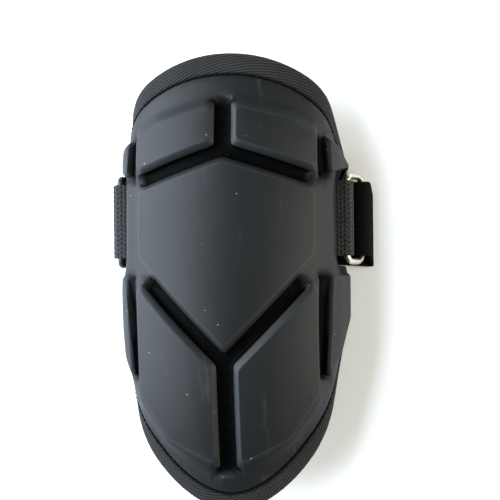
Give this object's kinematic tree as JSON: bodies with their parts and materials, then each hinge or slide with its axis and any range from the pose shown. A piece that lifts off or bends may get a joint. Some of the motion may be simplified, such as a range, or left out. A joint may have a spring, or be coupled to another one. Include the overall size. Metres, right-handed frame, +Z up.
{
  "type": "baseball elbow guard",
  "caption": "Elbow guard for batting: a moulded shell with raised panels on a padded liner, held on the arm by an elastic strap through side rings.",
  "frame": {"origin": "under the middle of the strap, on the surface that the guard lies on", "axes": "+X across the arm towards the steel ring, +Y along the arm towards the wide upper end, +Z up through the crown of the shell"},
  "size_m": [0.1347, 0.227, 0.0555],
  "materials": {
    "shell_foam": "matte moulded",
    "liner_twill": "ribbed twill",
    "webbing": "herringbone woven",
    "black_plastic": "satin",
    "ring_steel": "polished nickel",
    "strap_elastic": "ribbed elastic",
    "hook_tape": "hook tape"
  },
  "bodies": {
    "root": {"shell": "shell_foam", "liner": "liner_twill", "tab_left": "webbing", "tab_right": "webbing", "ring_left": "black_plastic", "ring_right": "ring_steel", "strap": "strap_elastic", "hook_patch": "hook_tape"}
  },
  "joints": []
}
